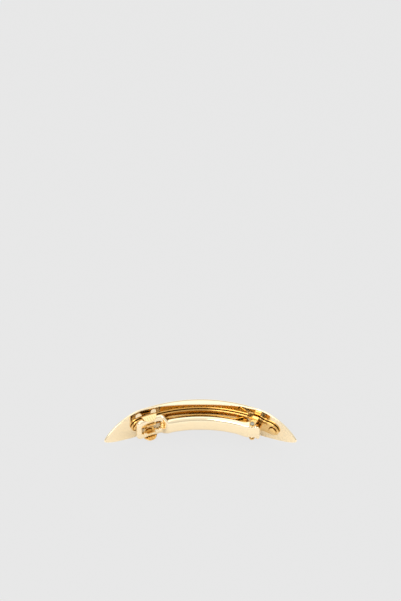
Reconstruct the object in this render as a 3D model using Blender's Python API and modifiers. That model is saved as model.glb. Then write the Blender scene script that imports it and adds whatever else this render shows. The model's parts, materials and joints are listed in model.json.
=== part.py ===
"""French barrette: an arched gold hair clip that stands on its lower long edge.

Frame: X runs along the clip, +X at the hinge end; -Y faces the mechanism side; Z is up, across the clip.
The origin is the middle of the bounding box's bottom face. All lengths are in metres.

Every layer follows the arch of the plate, so places are given as (along, inset, height): the X position
on the plate's outer arc, the depth below the plate's outer face, and the height from the centre line.
"""
import math

import bmesh
import bpy
from mathutils import Vector

MM = 0.001

# Plate
ARCH_RADIUS = 65.5 * MM
PLATE_HALF_LENGTH = 43.3 * MM
PLATE_HALF_WIDTH = 10.2 * MM
PLATE_SHEET = 0.8 * MM
RIM_DEPTH = 3.4 * MM
RIM_HALF_LENGTH = 28.0 * MM
STRAIGHT_HALF_LENGTH = 23.5 * MM
TAPER_EXPONENT = 0.72
SIDE_SQUARENESS = 9.0
SIDE_FLATTENING = 1.004

# Base strip
GAP = 0.3 * MM
BASE_SHEET = 0.7 * MM
BASE_BACK = PLATE_SHEET + GAP
BASE_FRONT = BASE_BACK + BASE_SHEET
BASE_LEFT = -31.9 * MM
BASE_RIGHT = 35.9 * MM
BASE_HALF_WIDTH = 3.0 * MM
BASE_END_HALF_WIDTH = 3.8 * MM
STUD_INSET = 2.6 * MM

# Hinge
HINGE_ALONG = 25.6 * MM
HINGE_INSET = 6.2 * MM
PIN_RADIUS = 0.60 * MM
PIN_HOLE_RADIUS = 0.68 * MM
EAR_INNER = 4.75 * MM
EAR_SHEET = 0.7 * MM
EAR_TOP_RADIUS = 1.3 * MM

# Clasp arm
ARM_SHEET = 0.7 * MM
ARM_FRONT = 8.05 * MM
ARM_BACK = 5.95 * MM
ARM_HALF_WIDTH = 4.5 * MM
ARM_HINGE_HALF_WIDTH = 4.4 * MM
ARM_TAB_END = 29.3 * MM
FLANGE_PAST_PIN = 1.4 * MM
LOOP_END = -30.6 * MM
LOOP_START = -18.6 * MM
LOOP_FRONT = 5.2 * MM
LOOP_BACK = 3.6 * MM
LOOP_HALF_WIDTH = 6.5 * MM
WINDOW_LEFT = -28.2 * MM
WINDOW_RIGHT = -19.6 * MM
WINDOW_HALF_WIDTH = 3.3 * MM
COLLAR_SHEET = 0.5 * MM
COLLAR_LIP = 0.1 * MM

# Catch
CATCH_ALONG = -24.2 * MM
CATCH_SHEET = 0.5 * MM
CATCH_BACK = BASE_FRONT + GAP
CATCH_HALF_LENGTH = 3.3 * MM
NECK_HALF_LENGTH = 2.0 * MM
CATCH_HALF_WIDTH = 2.4 * MM
SQUEEZE_HEIGHT = 4.5 * MM
SQUEEZE_INSET = 2.2 * MM
HOOK_TIP_INSET = 6.1 * MM
HOOK_HALF_LENGTH = 1.9 * MM
PAD_REACH = 7.6 * MM
PAD_FRONT = 6.7 * MM

# Tension bow
BOW_SHEET = 0.35 * MM
BOW_HALF_WIDTH = 3.1 * MM
BOW_PIVOT_ALONG = 21.6 * MM
BOW_FREE_END = -17.6 * MM
BOW_SLOTS = 12
BOW_FIRST_SLOT = -12.9 * MM
BOW_SLOT_PITCH = 2.7 * MM
BOW_SLOT_LENGTH = 1.7 * MM
BOW_SLOT_HALF_WIDTH = 0.35 * MM

BRIGHT_GOLD = (0.95, 0.80, 0.55)
BASE_GOLD = (0.82, 0.55, 0.22)
CATCH_GOLD = (0.90, 0.68, 0.36)
STRIP_GOLD = (0.86, 0.49, 0.08)
PIN_STEEL = (0.36, 0.35, 0.28)


def arc_angle(along):
    """Angle round the arch whose outer face is at X = along."""
    return math.asin(along / ARCH_RADIUS)


TIP_ANGLE = arc_angle(PLATE_HALF_LENGTH)
TIP_DEPTH = ARCH_RADIUS - (ARCH_RADIUS - PLATE_SHEET) * math.cos(TIP_ANGLE)
CROWN_Y = TIP_DEPTH / 2


def place(along, inset, height):
    """World point at a place on the clip."""
    angle = arc_angle(along)
    radius = ARCH_RADIUS - inset
    x = radius * math.sin(angle)
    y = CROWN_Y - ARCH_RADIUS + radius * math.cos(angle)
    return Vector((x, y, PLATE_HALF_WIDTH + height))


def smooth_step(value, start, end):
    """0 before start, 1 after end, and a smooth ramp between."""
    t = min(max((value - start) / (end - start), 0.0), 1.0)
    return t * t * (3 - 2 * t)


def span(start, end, count):
    """Evenly spaced values from start to end."""
    return [start + (end - start) * i / (count - 1) for i in range(count)]


def new_collection(name):
    collection = bpy.data.collections.new(name)
    bpy.context.scene.collection.children.link(collection)
    return collection


def metal_material(name, colour, roughness):
    material = bpy.data.materials.new(name)
    material.use_nodes = True
    shader = material.node_tree.nodes["Principled BSDF"]
    shader.inputs["Base Color"].default_value = (*colour, 1)
    shader.inputs["Roughness"].default_value = roughness
    shader.inputs["Metallic"].default_value = 1.0
    return material


def add_mesh_object(name, bm, collection, origin=None):
    """Turn a bmesh in world coordinates into an object, with its origin at a given point."""
    bmesh.ops.recalc_face_normals(bm, faces=bm.faces)
    origin = origin or Vector((0, 0, 0))
    bmesh.ops.translate(bm, verts=bm.verts, vec=-origin)
    mesh = bpy.data.meshes.new(name)
    bm.to_mesh(mesh)
    bm.free()
    mesh.set_sharp_from_angle(angle=math.radians(35))
    obj = bpy.data.objects.new(name, mesh)
    obj.location = origin
    collection.objects.link(obj)
    return obj


def add_part(name, bm, colour, roughness, origin=None):
    """Add a sub-part with a material of its own."""
    obj = add_mesh_object(name, bm, PARTS, origin)
    obj.data.materials.append(metal_material(name, colour, roughness))
    return obj


def add_tool(name, bm, collection):
    """Add a cutter or a piece to be joined, shown as wire and left out of renders."""
    obj = add_mesh_object(name, bm, collection)
    obj.hide_render = True
    obj.display_type = "WIRE"
    return obj


def combine(obj, tool, operation):
    modifier = obj.modifiers.new(tool.name, "BOOLEAN")
    modifier.operation = operation
    modifier.solver = "EXACT"
    modifier.object = tool


def loft(rings):
    """Closed solid through rings of points, each ring with as many points as the next.

    Its faces are triangles, because a Boolean can't cut a twisted quad cleanly.
    """
    bm = bmesh.new()
    rows = [[bm.verts.new(point) for point in ring] for ring in rings]
    count = len(rows[0])
    for low, high in zip(rows, rows[1:]):
        for i in range(count):
            j = (i + 1) % count
            bm.faces.new((low[i], low[j], high[j], high[i]))
    bm.faces.new(rows[0])
    bm.faces.new(rows[-1])
    bmesh.ops.triangulate(bm, faces=bm.faces)
    return bm


def closed_band(rings):
    """Closed ring-shaped solid: each ring of points joins the next, and the last joins the first."""
    bm = bmesh.new()
    rows = [[bm.verts.new(point) for point in ring] for ring in rings]
    count = len(rows[0])
    for low, high in zip(rows, rows[1:] + rows[:1]):
        for i in range(count):
            j = (i + 1) % count
            bm.faces.new((low[i], low[j], high[j], high[i]))
    bmesh.ops.triangulate(bm, faces=bm.faces)
    return bm


def band_ring(along, back, front, half_width):
    """Rectangle across the clip at one place along it."""
    return [
        place(along, back, -half_width),
        place(along, front, -half_width),
        place(along, front, half_width),
        place(along, back, half_width),
    ]


def cylinder(centre, axis, radius, length, sides=24):
    """Closed cylinder about an axis."""
    bm = bmesh.new()
    turn = axis.to_track_quat("Z", "Y").to_matrix().to_4x4()
    turn.translation = centre
    bmesh.ops.create_cone(
        bm, cap_ends=True, segments=sides, radius1=radius, radius2=radius, depth=length, matrix=turn
    )
    return bm


def inward(along):
    """Unit vector from the plate's outer face towards the mechanism side."""
    return (place(along, 1.0, 0) - place(along, 0, 0)).normalized()


def domed_rivet(along, back, head_back, head_front, shank_radius, head_radius, sides=24):
    """Turned rivet: a plain shank and a low domed head."""
    profile = [(shank_radius, back), (shank_radius, head_back), (head_radius, head_back)]
    dome_steps = 4
    for i in range(1, dome_steps):
        angle = math.pi / 2 * i / dome_steps
        inset = head_back + (head_front - head_back) * math.sin(angle)
        profile.append((head_radius * math.cos(angle), inset))
    rings = []
    across = inward(along).cross(Vector((0, 0, 1)))
    for radius, inset in profile:
        centre = place(along, inset, 0)
        angles = [math.tau * i / sides for i in range(sides)]
        rings.append(
            [centre + across * radius * math.cos(a) + Vector((0, 0, radius * math.sin(a))) for a in angles]
        )
    return loft(rings)


# Decorative plate


def plate_half_width(along):
    """Parallel sides in the middle, tapering to a blunt point at each tip."""
    taper = max(abs(along) - STRAIGHT_HALF_LENGTH, 0) / (PLATE_HALF_LENGTH - STRAIGHT_HALF_LENGTH)
    return max(PLATE_HALF_WIDTH * max(1 - taper**2, 0) ** TAPER_EXPONENT, PLATE_SHEET)


def rim_depth(along):
    """How far the outer face curls forward at the edge: deep in the middle, not at all at the tips."""
    bulge = RIM_DEPTH * (1 - (along / RIM_HALF_LENGTH) ** 2)
    soften = 0.25 * MM
    return 0.5 * (bulge + math.hypot(bulge, soften))


def plate_outer_row(along, steps):
    """Outer face across the plate at one place: flat in the middle, turned forward at both edges."""
    half_width = plate_half_width(along)
    depth = rim_depth(along)
    row = []
    for turn in span(0, math.pi, steps):
        power = 2 / SIDE_SQUARENESS
        reach = min(SIDE_FLATTENING * abs(math.cos(turn)) ** power, 1.0)
        height = half_width * math.copysign(reach, math.cos(turn))
        inset = depth * (1 - abs(math.sin(turn)) ** power)
        row.append(place(along, inset, height))
    return row


def build_plate():
    stations = [TIP_ANGLE * math.sin(math.pi / 2 * t) for t in span(-1, 1, 53)]
    bm = bmesh.new()
    rows = []
    for angle in stations:
        points = plate_outer_row(ARCH_RADIUS * math.sin(angle), 21)
        rows.append([bm.verts.new(point) for point in points])
    for low, high in zip(rows, rows[1:]):
        for i in range(len(low) - 1):
            bm.faces.new((low[i], high[i], high[i + 1], low[i + 1]))
    plate = add_part("decorative_plate", bm, BRIGHT_GOLD, 0.05)
    middle = plate.data.polygons[len(plate.data.polygons) // 2]
    if middle.normal.y < 0:
        plate.data.flip_normals()
    plate.data.shade_smooth()
    sheet = plate.modifiers.new("sheet", "SOLIDIFY")
    sheet.thickness = PLATE_SHEET
    sheet.offset = -1
    sheet.use_even_offset = True
    return plate


# Base strip


def base_half_width(along):
    """Round at both ends, and wider where the hinge ears are folded up."""
    left = along - BASE_LEFT
    right = BASE_RIGHT - along
    end = min(left, right)
    widening = 1 - smooth_step(end, 5 * MM, 12 * MM)
    width = BASE_HALF_WIDTH + (BASE_END_HALF_WIDTH - BASE_HALF_WIDTH) * widening
    if end < BASE_END_HALF_WIDTH:
        width = math.sqrt(max(BASE_END_HALF_WIDTH**2 - (BASE_END_HALF_WIDTH - end) ** 2, (0.3 * MM) ** 2))
    ear_width = EAR_INNER + EAR_SHEET
    away = abs(along - HINGE_ALONG)
    return width + (ear_width - width) * (1 - smooth_step(away, 2.0 * MM, 4.2 * MM))


def base_stations():
    round_end = [BASE_END_HALF_WIDTH * (1 - math.cos(a)) for a in span(0, math.pi / 2, 8)]
    left = [BASE_LEFT + d for d in round_end]
    right = [BASE_RIGHT - d for d in reversed(round_end)]
    middle = span(left[-1], HINGE_ALONG - 5 * MM, 22)
    hinge = span(HINGE_ALONG - 4.2 * MM, HINGE_ALONG + 4.2 * MM, 13)
    return left + middle[1:] + hinge + right


def hinge_ear(side):
    """Round-topped ear at one edge of the base, standing up to the hinge pin."""
    pin = place(HINGE_ALONG, HINGE_INSET, 0)
    forward = inward(HINGE_ALONG)
    across = forward.cross(Vector((0, 0, 1)))
    outline = [pin - forward * (HINGE_INSET - BASE_BACK - 0.2 * MM) - across * EAR_TOP_RADIUS]
    for angle in span(-math.pi / 2, math.pi / 2, 13):
        outline.append(
            pin + forward * EAR_TOP_RADIUS * math.cos(angle) + across * EAR_TOP_RADIUS * math.sin(angle)
        )
    outline.append(pin - forward * (HINGE_INSET - BASE_BACK - 0.2 * MM) + across * EAR_TOP_RADIUS)
    inner = Vector((0, 0, side * EAR_INNER))
    outer = Vector((0, 0, side * (EAR_INNER + EAR_SHEET)))
    return loft([[p + inner for p in outline], [p + outer for p in outline]])


def build_base():
    rings = [band_ring(a, BASE_BACK, BASE_FRONT, base_half_width(a)) for a in base_stations()]
    base = add_part("base_plate", loft(rings), BASE_GOLD, 0.08)
    for side, name in ((-1, "lower"), (1, "upper")):
        combine(base, add_tool(name + "_hinge_ear", hinge_ear(side), JOINED), "UNION")
    pin_hole = cylinder(place(HINGE_ALONG, HINGE_INSET, 0), Vector((0, 0, 1)), PIN_HOLE_RADIUS, 20 * MM)
    combine(base, add_tool("pin_hole", pin_hole, CUTTERS), "DIFFERENCE")
    for along, radius, name in (
        (BASE_LEFT + STUD_INSET, 1.35 * MM, "left_hole"),
        (BASE_RIGHT - STUD_INSET, 1.35 * MM, "right_hole"),
        (CATCH_ALONG, 1.1 * MM, "catch_rivet_hole"),
    ):
        hole = cylinder(place(along, BASE_BACK, 0), inward(along), radius, 3 * MM)
        combine(base, add_tool(name, hole, CUTTERS), "DIFFERENCE")
    slot_stations = span(BOW_PIVOT_ALONG - 0.7 * MM, BOW_PIVOT_ALONG + 0.7 * MM, 2)
    slot = loft([band_ring(a, 0, 3 * MM, 1.9 * MM) for a in slot_stations])
    combine(base, add_tool("tongue_slot", slot, CUTTERS), "DIFFERENCE")
    return base


def build_studs():
    for name, along in (
        ("left_fixing_stud", BASE_LEFT + STUD_INSET),
        ("right_fixing_stud", BASE_RIGHT - STUD_INSET),
    ):
        bm = domed_rivet(along, BASE_BACK, BASE_FRONT + GAP, BASE_FRONT + 0.9 * MM, 1.0 * MM, 1.9 * MM)
        add_part(name, bm, BASE_GOLD, 0.1, origin=place(along, BASE_FRONT, 0))


# Hinge pin


def build_hinge_pin():
    """Plain pin with a low head outside each ear."""
    head_start = EAR_INNER + EAR_SHEET + 0.1 * MM
    head_end = head_start + 0.5 * MM
    profile = [
        (0.6 * MM, -head_end),
        (1.0 * MM, -head_end + 0.2 * MM),
        (1.0 * MM, -head_start),
        (PIN_RADIUS, -head_start),
        (PIN_RADIUS, head_start),
        (1.0 * MM, head_start),
        (1.0 * MM, head_end - 0.2 * MM),
        (0.6 * MM, head_end),
    ]
    pin = place(HINGE_ALONG, HINGE_INSET, 0)
    sides = 24
    angles = [math.tau * i / sides for i in range(sides)]
    rings = []
    for radius, height in profile:
        rings.append([pin + Vector((radius * math.cos(a), radius * math.sin(a), height)) for a in angles])
    return add_part("hinge_pin", loft(rings), PIN_STEEL, 0.14, origin=pin)


# Clasp arm


def arm_front(along):
    """Front face of the arm: a constant lift over the plate, lower at the loop and at the hinge tab."""
    loop = 1 - smooth_step(along, LOOP_START - 0.6 * MM, LOOP_START + 2.6 * MM)
    tab = smooth_step(along, HINGE_ALONG - 3.0 * MM, ARM_TAB_END)
    return ARM_FRONT - (ARM_FRONT - LOOP_FRONT) * loop - 1.6 * MM * tab


def arm_back(along):
    """Back edge of the arm's side flanges, which end short of the hinge tab."""
    loop = 1 - smooth_step(along, LOOP_START - 0.6 * MM, LOOP_START + 2.6 * MM)
    eyelet = smooth_step(along, HINGE_ALONG - 4.5 * MM, HINGE_ALONG - 1.6 * MM)
    flange_end = HINGE_ALONG + FLANGE_PAST_PIN
    gone = smooth_step(along, flange_end - 0.2 * MM, flange_end + 0.6 * MM)
    lower = ARM_BACK - (ARM_BACK - LOOP_BACK) * loop - (ARM_BACK - 4.9 * MM) * eyelet
    return lower + (arm_front(along) - ARM_SHEET - lower) * gone


def arm_half_width(along):
    """Wide at the loop, slim along the arm and slimmer at the hinge; both ends have round corners."""
    loop = 1 - smooth_step(along, LOOP_START, LOOP_START + 2.2 * MM)
    hinge = smooth_step(along, HINGE_ALONG - 6 * MM, HINGE_ALONG - 2 * MM)
    width = ARM_HALF_WIDTH + (LOOP_HALF_WIDTH - ARM_HALF_WIDTH) * loop
    width += (ARM_HINGE_HALF_WIDTH - ARM_HALF_WIDTH) * hinge
    corner = 2.2 * MM if along < 0 else 1.2 * MM
    end = along - LOOP_END if along < 0 else ARM_TAB_END - along
    if end < corner:
        width -= corner - math.sqrt(max(corner**2 - (corner - end) ** 2, 0))
    return width


def arm_stations(left_end, right_end):
    left = [left_end + d for d in (0, 0.15 * MM, 0.6 * MM, 1.3 * MM, 2.2 * MM)]
    loop = span(left_end + 4 * MM, LOOP_START - 1 * MM, 4)
    step = span(LOOP_START - 0.4 * MM, LOOP_START + 2.8 * MM, 9)
    middle = span(LOOP_START + 5 * MM, HINGE_ALONG - 5 * MM, 16)
    hinge = span(HINGE_ALONG - 4.4 * MM, HINGE_ALONG + 2.0 * MM, 14)
    right = [right_end - d for d in (1.2 * MM, 0.8 * MM, 0.4 * MM, 0.1 * MM, 0)]
    return left + loop + step + middle + hinge + right


def arm_shell():
    stations = arm_stations(LOOP_END, ARM_TAB_END)
    return loft([band_ring(a, arm_back(a), arm_front(a), arm_half_width(a)) for a in stations])


def arm_hollow():
    """Room inside the channel, open at the back."""
    stations = arm_stations(LOOP_END + ARM_SHEET, ARM_TAB_END)
    rings = []
    for along in stations:
        if along > HINGE_ALONG + FLANGE_PAST_PIN:
            break
        front = arm_front(along) - ARM_SHEET
        rings.append(band_ring(along, 0, front, arm_half_width(along) - ARM_SHEET))
    return loft(rings)


def window_ring(inset, grow):
    """Round-cornered outline of the loop's window at one depth, larger by grow."""
    corner = 0.9 * MM + grow
    left, right = WINDOW_LEFT - grow, WINDOW_RIGHT + grow
    reach = WINDOW_HALF_WIDTH + grow
    ring = []
    for along, height, start in (
        (right - corner, reach - corner, 0),
        (left + corner, reach - corner, 90),
        (left + corner, -reach + corner, 180),
        (right - corner, -reach + corner, 270),
    ):
        for turn in span(start, start + 90, 5):
            angle = math.radians(turn)
            ring.append(place(along + corner * math.cos(angle), inset, height + corner * math.sin(angle)))
    return ring


def window_collar():
    """Flanged edge round the window, standing a touch proud of the loop's face."""
    front = LOOP_FRONT + COLLAR_LIP
    outer_back = window_ring(LOOP_BACK, COLLAR_SHEET)
    outer_front = window_ring(front, COLLAR_SHEET)
    return closed_band([outer_back, outer_front, window_ring(front, 0), window_ring(LOOP_BACK, 0)])


def build_arm():
    pin = place(HINGE_ALONG, HINGE_INSET, 0)
    arm = add_part("clasp_arm", arm_shell(), BRIGHT_GOLD, 0.06, origin=pin)
    combine(arm, add_tool("arm_hollow", arm_hollow(), CUTTERS), "DIFFERENCE")
    eyelet = cylinder(pin, Vector((0, 0, 1)), PIN_HOLE_RADIUS, 20 * MM)
    combine(arm, add_tool("arm_pin_hole", eyelet, CUTTERS), "DIFFERENCE")
    window_grow = COLLAR_SHEET - 0.15 * MM
    window_depths = (LOOP_BACK - 2 * MM, LOOP_FRONT + 3 * MM)
    window = loft([window_ring(inset, window_grow) for inset in window_depths])
    combine(arm, add_tool("loop_window", window, CUTTERS), "DIFFERENCE")
    combine(arm, add_tool("window_collar", window_collar(), JOINED), "UNION")
    return arm


# Tension bow


def bow_inset(along):
    """Lift of the bow over the plate: rises quickly from its anchored end and droops at its free end."""
    rise = 1 - smooth_step(along, BOW_PIVOT_ALONG - 6.5 * MM, BOW_PIVOT_ALONG - 0.3 * MM)
    droop = 1 - smooth_step(along, BOW_FREE_END, BOW_FREE_END + 5 * MM)
    flatter = (along / BOW_PIVOT_ALONG) ** 2
    return 2.2 * MM + (1.9 * MM + 0.8 * MM * flatter) * rise - 0.9 * MM * droop


def bow_slot_ends(number):
    """Both ends of one of the slots in the row down the bow's middle."""
    centre = BOW_FIRST_SLOT + number * BOW_SLOT_PITCH
    return centre - BOW_SLOT_LENGTH / 2, centre + BOW_SLOT_LENGTH / 2


def bow_slot_cutter(number):
    ends = bow_slot_ends(number)
    return loft([band_ring(a, BASE_FRONT, ARM_BACK, BOW_SLOT_HALF_WIDTH) for a in ends])


def build_bow():
    straight = span(BOW_FREE_END, BOW_PIVOT_ALONG - 7 * MM, 24)
    rising = span(BOW_PIVOT_ALONG - 6.2 * MM, BOW_PIVOT_ALONG, 14)
    stations = straight + rising
    rings = []
    for along in stations:
        inset = bow_inset(along)
        rings.append(band_ring(along, inset, inset + BOW_SHEET, BOW_HALF_WIDTH))
    root = place(BOW_PIVOT_ALONG, 2.2 * MM, 0)
    bow = add_part("tension_bow", loft(rings), STRIP_GOLD, 0.1, origin=root)
    for number in range(BOW_SLOTS):
        cutter = add_tool(f"bow_slot_{number}", bow_slot_cutter(number), CUTTERS)
        combine(bow, cutter, "DIFFERENCE")
    tongue_start, tongue_end = BOW_PIVOT_ALONG - BOW_SHEET, BOW_PIVOT_ALONG
    tongue = [band_ring(a, BASE_BACK + 0.1 * MM, 2.4 * MM, 1.5 * MM) for a in (tongue_start, tongue_end)]
    combine(bow, add_tool("bow_tongue", loft(tongue), JOINED), "UNION")
    return bow


# Squeeze catch


def build_catch_plate():
    stations = span(CATCH_ALONG - CATCH_HALF_LENGTH, CATCH_ALONG + CATCH_HALF_LENGTH, 5)
    front = CATCH_BACK + CATCH_SHEET
    rings = [band_ring(a, CATCH_BACK, front, CATCH_HALF_WIDTH) for a in stations]
    catch = add_part("catch_plate", loft(rings), CATCH_GOLD, 0.1)
    hole = cylinder(place(CATCH_ALONG, CATCH_BACK, 0), inward(CATCH_ALONG), 1.1 * MM, 3 * MM)
    combine(catch, add_tool("catch_plate_hole", hole, CUTTERS), "DIFFERENCE")
    head_back = front + GAP
    rivet = domed_rivet(CATCH_ALONG, BASE_BACK, head_back, head_back + 0.6 * MM, 0.8 * MM, 1.5 * MM)
    add_part("catch_rivet", rivet, BASE_GOLD, 0.1, origin=place(CATCH_ALONG, head_back, 0))


def ear_path():
    """Middle of the ear's strip, as (height, inset): out along the base, then bent forward."""
    middle = CATCH_BACK + CATCH_SHEET / 2
    bend_radius = 1.0 * MM
    bend_start = PAD_REACH - CATCH_SHEET / 2 - bend_radius
    path = [(height, middle) for height in span(CATCH_HALF_WIDTH + GAP, bend_start - 0.2 * MM, 8)]
    for angle in span(0, math.pi / 2, 6):
        height = bend_start + bend_radius * math.sin(angle)
        path.append((height, middle + bend_radius * (1 - math.cos(angle))))
    pad_height, bend_end = path[-1]
    for share in span(0, 1, 8)[1:]:
        path.append((pad_height, bend_end + (PAD_FRONT - bend_end) * math.sin(math.pi / 2 * share)))
    return path


def ear_half_length(height, inset):
    """A neck that flares out to a half-disc finger pad, rounded off at its front rim."""
    straight = 3.0 * MM
    rounding = max(inset - straight, 0) / (PAD_FRONT - straight)
    pad = CATCH_HALF_LENGTH * math.sqrt(max(1 - 0.97 * rounding**2, 0))
    flare = smooth_step(height, 4.4 * MM, 6.6 * MM)
    return NECK_HALF_LENGTH + (pad - NECK_HALF_LENGTH) * flare


def ear_strip(side):
    path = ear_path()
    rings = []
    for i, (height, inset) in enumerate(path):
        before = path[max(i - 1, 0)]
        after = path[min(i + 1, len(path) - 1)]
        run = Vector((after[0] - before[0], after[1] - before[1])).normalized() * CATCH_SHEET / 2
        half_length = ear_half_length(height, inset)
        left, right = CATCH_ALONG - half_length, CATCH_ALONG + half_length
        rings.append([
            place(left, inset - run.x, side * (height + run.y)),
            place(right, inset - run.x, side * (height + run.y)),
            place(right, inset + run.x, side * (height - run.y)),
            place(left, inset + run.x, side * (height - run.y)),
        ])
    return loft(rings)


def hook_leg(side):
    """Leg that stands in the loop's window, with a slightly thicker nose at its tip."""
    inner = CATCH_HALF_WIDTH + GAP - 0.1 * MM
    insets = [CATCH_BACK + 0.1 * MM, HOOK_TIP_INSET - 1.2 * MM, HOOK_TIP_INSET - 0.7 * MM, HOOK_TIP_INSET]
    outers = [inner + 0.3 * MM, inner + 0.3 * MM, inner + 0.45 * MM, inner + 0.2 * MM]
    rings = []
    for inset, outer in zip(insets, outers):
        left, right = CATCH_ALONG - HOOK_HALF_LENGTH, CATCH_ALONG + HOOK_HALF_LENGTH
        rings.append([
            place(left, inset, side * inner),
            place(right, inset, side * inner),
            place(right, inset, side * outer),
            place(left, inset, side * outer),
        ])
    return loft(rings)


def build_catch_ears():
    for side, name in ((-1, "lower_catch_ear"), (1, "upper_catch_ear")):
        pivot = place(CATCH_ALONG, SQUEEZE_INSET, side * SQUEEZE_HEIGHT)
        ear = add_part(name, ear_strip(side), CATCH_GOLD, 0.1, origin=pivot)
        combine(ear, add_tool(name + "_hook", hook_leg(side), JOINED), "UNION")


def clear_scene():
    for obj in list(bpy.data.objects):
        bpy.data.objects.remove(obj)


clear_scene()
PARTS = new_collection("french_barrette")
JOINED = new_collection("joined_pieces")
CUTTERS = new_collection("cutters")
build_plate()
build_base()
build_studs()
build_hinge_pin()
build_arm()
build_bow()
build_catch_plate()
build_catch_ears()
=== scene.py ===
"""French barrette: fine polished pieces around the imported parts, a pale floor and soft studio light.

The sheet-metal pieces are drawn in clip coordinates (along, inset, height): the X position on the
plate's outer arc, the depth below the plate's outer face, and the height from the centre line. Each
surface is laid over the arch and then given its thickness with rounded edges. Lengths are in metres.
"""
import json
import math

import bmesh
import bpy
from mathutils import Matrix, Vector

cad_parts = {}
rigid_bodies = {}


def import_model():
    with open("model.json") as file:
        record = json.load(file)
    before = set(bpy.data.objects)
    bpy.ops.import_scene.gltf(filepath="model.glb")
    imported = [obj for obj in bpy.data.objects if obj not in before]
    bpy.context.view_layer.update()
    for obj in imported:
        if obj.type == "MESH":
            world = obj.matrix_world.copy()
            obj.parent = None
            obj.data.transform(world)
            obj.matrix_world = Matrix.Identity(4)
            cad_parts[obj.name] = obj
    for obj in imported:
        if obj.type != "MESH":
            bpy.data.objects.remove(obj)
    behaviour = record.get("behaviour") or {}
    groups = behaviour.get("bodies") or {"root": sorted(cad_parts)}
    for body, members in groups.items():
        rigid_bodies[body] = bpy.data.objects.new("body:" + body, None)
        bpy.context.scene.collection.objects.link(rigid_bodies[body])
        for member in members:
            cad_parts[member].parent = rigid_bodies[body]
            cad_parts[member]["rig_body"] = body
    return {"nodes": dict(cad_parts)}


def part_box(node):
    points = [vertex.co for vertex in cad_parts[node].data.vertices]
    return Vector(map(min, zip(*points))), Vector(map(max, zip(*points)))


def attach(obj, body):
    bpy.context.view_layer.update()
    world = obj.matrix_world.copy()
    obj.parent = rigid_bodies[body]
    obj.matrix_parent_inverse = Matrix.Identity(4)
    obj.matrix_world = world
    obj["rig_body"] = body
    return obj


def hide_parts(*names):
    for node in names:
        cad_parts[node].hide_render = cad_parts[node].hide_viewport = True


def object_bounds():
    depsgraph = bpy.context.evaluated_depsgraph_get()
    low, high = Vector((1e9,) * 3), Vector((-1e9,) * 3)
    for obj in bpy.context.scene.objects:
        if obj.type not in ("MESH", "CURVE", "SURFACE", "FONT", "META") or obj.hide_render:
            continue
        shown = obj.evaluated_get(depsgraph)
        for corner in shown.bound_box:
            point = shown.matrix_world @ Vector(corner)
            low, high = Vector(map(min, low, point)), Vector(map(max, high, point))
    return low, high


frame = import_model()
CAD_LOW, CAD_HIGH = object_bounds()
MM = 0.001

# Plate
PLATE_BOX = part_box("decorative_plate")
CROWN_Y = PLATE_BOX[1].y
PLATE_HALF_LENGTH = PLATE_BOX[1].x
PLATE_HALF_WIDTH = PLATE_BOX[1].z / 2
ARCH_RADIUS = 65.5 * MM
PLATE_SHEET = 0.8 * MM
PLATE_EDGE = 0.28 * MM
RIM_DEPTH = 3.4 * MM
RIM_HALF_LENGTH = 28.0 * MM
RIM_BEND = 1.5 * MM
STRAIGHT_HALF_LENGTH = 23.5 * MM
TAPER_EXPONENT = 0.72

# Base strip
GAP = 0.3 * MM
BASE_SHEET = 0.7 * MM
BASE_BACK = PLATE_SHEET + GAP
BASE_FRONT = BASE_BACK + BASE_SHEET
BASE_LEFT = -31.9 * MM
BASE_RIGHT = 35.9 * MM
BASE_HALF_WIDTH = 3.0 * MM
BASE_END_HALF_WIDTH = 3.8 * MM
BASE_EDGE = 0.16 * MM
STUD_INSET = 2.6 * MM

STUD_HOLE_RADIUS = 1.35 * MM
STUD_SHANK_RADIUS = 1.0 * MM
STUD_HEAD_RADIUS = 1.9 * MM
STUD_HEAD_TOP = 0.9 * MM
BOW_ANCHOR_HALF_LENGTH = 0.7 * MM
BOW_ANCHOR_HALF_WIDTH = 1.9 * MM
BOW_ANCHOR_CORNER = 0.3 * MM

# Hinge
HINGE_ALONG = 25.6 * MM
HINGE_INSET = 6.2 * MM
PIN_RADIUS = 0.60 * MM
PIN_HOLE_RADIUS = 0.68 * MM
PIN_HEAD_RADIUS = 1.0 * MM
PIN_HEAD_LENGTH = 0.5 * MM
PIN_HEAD_DOME = 0.2 * MM
EAR_INNER = 4.75 * MM
EAR_SHEET = BASE_SHEET
EAR_TOP_RADIUS = 1.3 * MM
EAR_BEND = 0.7 * MM

# Clasp arm
ARM_SHEET = 0.7 * MM
ARM_EDGE = 0.16 * MM
ARM_BEND = 1.5 * MM
ARM_END_BEND = 0.7 * MM
ARM_FRONT = 8.05 * MM
ARM_BACK = 5.95 * MM
ARM_HALF_WIDTH = 4.5 * MM
ARM_HINGE_HALF_WIDTH = 4.4 * MM
ARM_TAB_END = 29.3 * MM
FLANGE_PAST_PIN = 1.4 * MM
LOOP_END = -30.6 * MM
LOOP_START = -18.6 * MM
LOOP_FRONT = 5.2 * MM
LOOP_BACK = 3.6 * MM
LOOP_HALF_WIDTH = 6.5 * MM
WINDOW_LEFT = -28.2 * MM
WINDOW_RIGHT = -19.6 * MM
WINDOW_HALF_WIDTH = 3.3 * MM
WINDOW_BEND = 0.45 * MM
WINDOW_CORNER = 0.9 * MM
LOOP_CORNER = 2.2 * MM
TAB_CORNER = 1.2 * MM

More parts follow.
